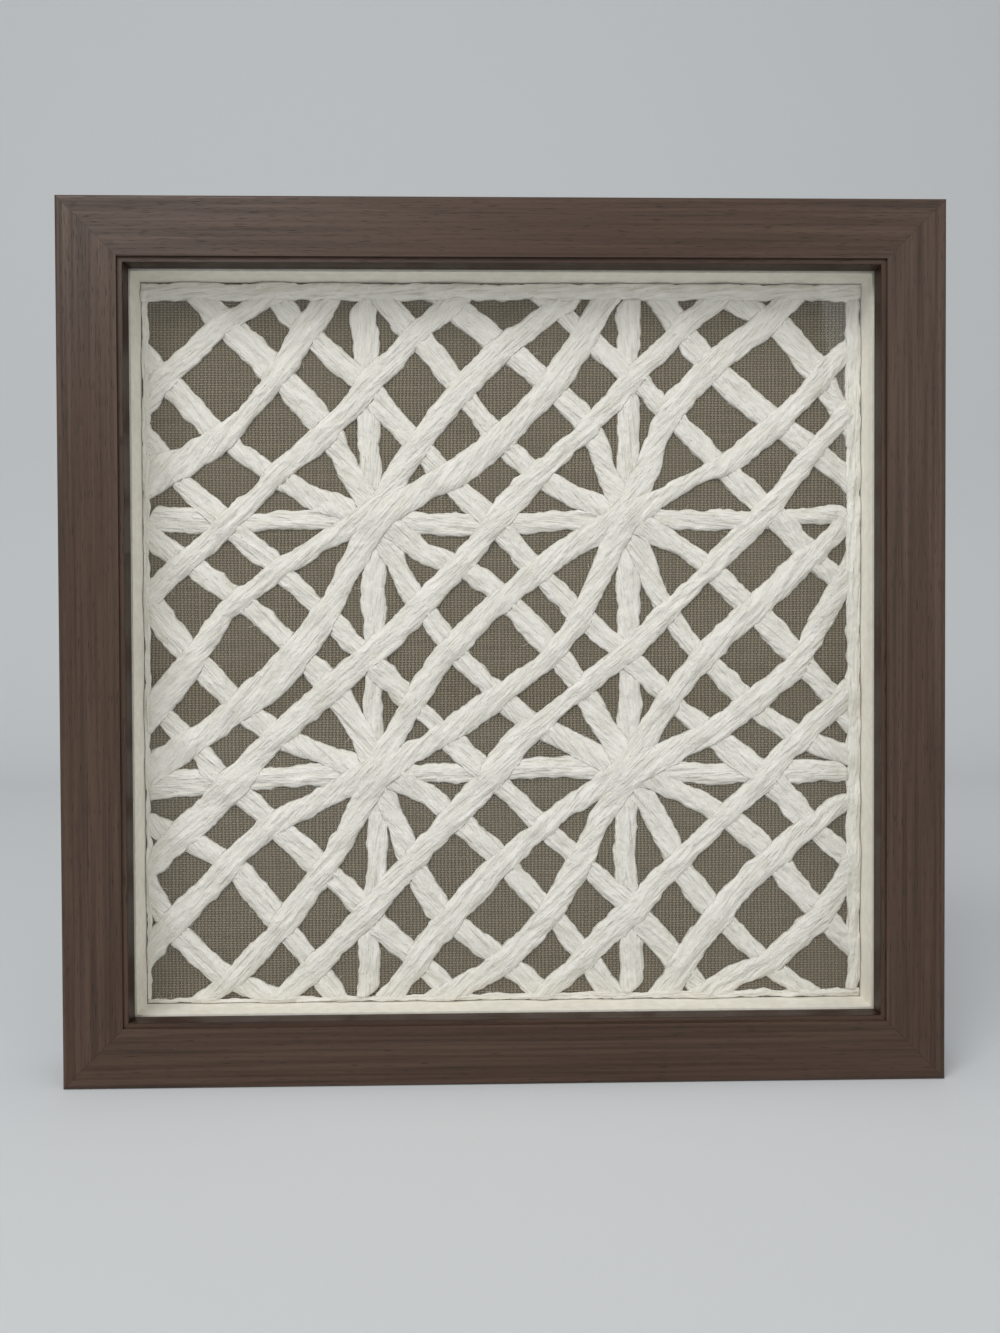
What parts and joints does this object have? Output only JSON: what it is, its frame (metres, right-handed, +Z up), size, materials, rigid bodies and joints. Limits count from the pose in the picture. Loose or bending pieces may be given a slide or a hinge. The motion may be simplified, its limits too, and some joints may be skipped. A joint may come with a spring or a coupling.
{
  "type": "framed folded paper lattice",
  "caption": "Square wooden shadow-box frame with glass in front of a lattice of long folded white paper strips crossing in stars over linen.",
  "frame": {"origin": "middle of the bottom rail's underside", "axes": "+X right as seen from the front, +Y into the wall, +Z up"},
  "size_m": [0.305, 0.0346, 0.305],
  "materials": {
    "frame_wood": "brown wood-grain wrap, satin",
    "glass": "clear float glass",
    "spacer_board": "cream foam board",
    "paper": "white long-fibre paper, crumpled along its length",
    "linen": "greige open linen weave",
    "mount_board": "grey board",
    "backing_board": "hardboard, smooth side out",
    "steel": "plain steel",
    "brass_plate": "brassed steel strip",
    "bumper_felt": "dark soft pad"
  },
  "bodies": {
    "root": {"backing_board": "backing_board", "border_strip_bottom": "paper", "border_strip_left": "paper", "border_strip_right": "paper", "border_strip_top": "paper", "corner_v_nails": "steel", "falling_strip_01": "paper", "falling_strip_02": "paper", "falling_strip_03": "paper", "falling_strip_04": "paper", "falling_strip_05": "paper", "falling_strip_06": "paper", "falling_strip_07": "paper", "falling_strip_08": "paper", "falling_strip_09": "paper", "falling_strip_10": "paper", "falling_strip_11": "paper", "falling_strip_12": "paper", "falling_strip_13": "paper", "falling_strip_14": "paper", "frame_rail_bottom": "frame_wood", "frame_rail_left": "frame_wood", "frame_rail_right": "frame_wood", "frame_rail_top": "frame_wood", "glass_pane": "glass", "hanger_nails": "steel", "level_strip_01": "paper", "level_strip_02": "paper", "linen_backing": "linen", "mount_board": "mount_board", "retaining_tabs": "steel", "rising_strip_01": "paper", "rising_strip_02": "paper", "rising_strip_03": "paper", "rising_strip_04": "paper", "rising_strip_05": "paper", "rising_strip_06": "paper", "rising_strip_07": "paper", "rising_strip_08": "paper", "rising_strip_09": "paper", "rising_strip_10": "paper", "rising_strip_11": "paper", "rising_strip_12": "paper", "rising_strip_13": "paper", "rising_strip_14": "paper", "sawtooth_hanger": "brass_plate", "spacer_bottom": "spacer_board", "spacer_left": "spacer_board", "spacer_right": "spacer_board", "spacer_top": "spacer_board", "upright_strip_01": "paper", "upright_strip_02": "paper", "wall_bumpers": "bumper_felt"}
  },
  "joints": []
}
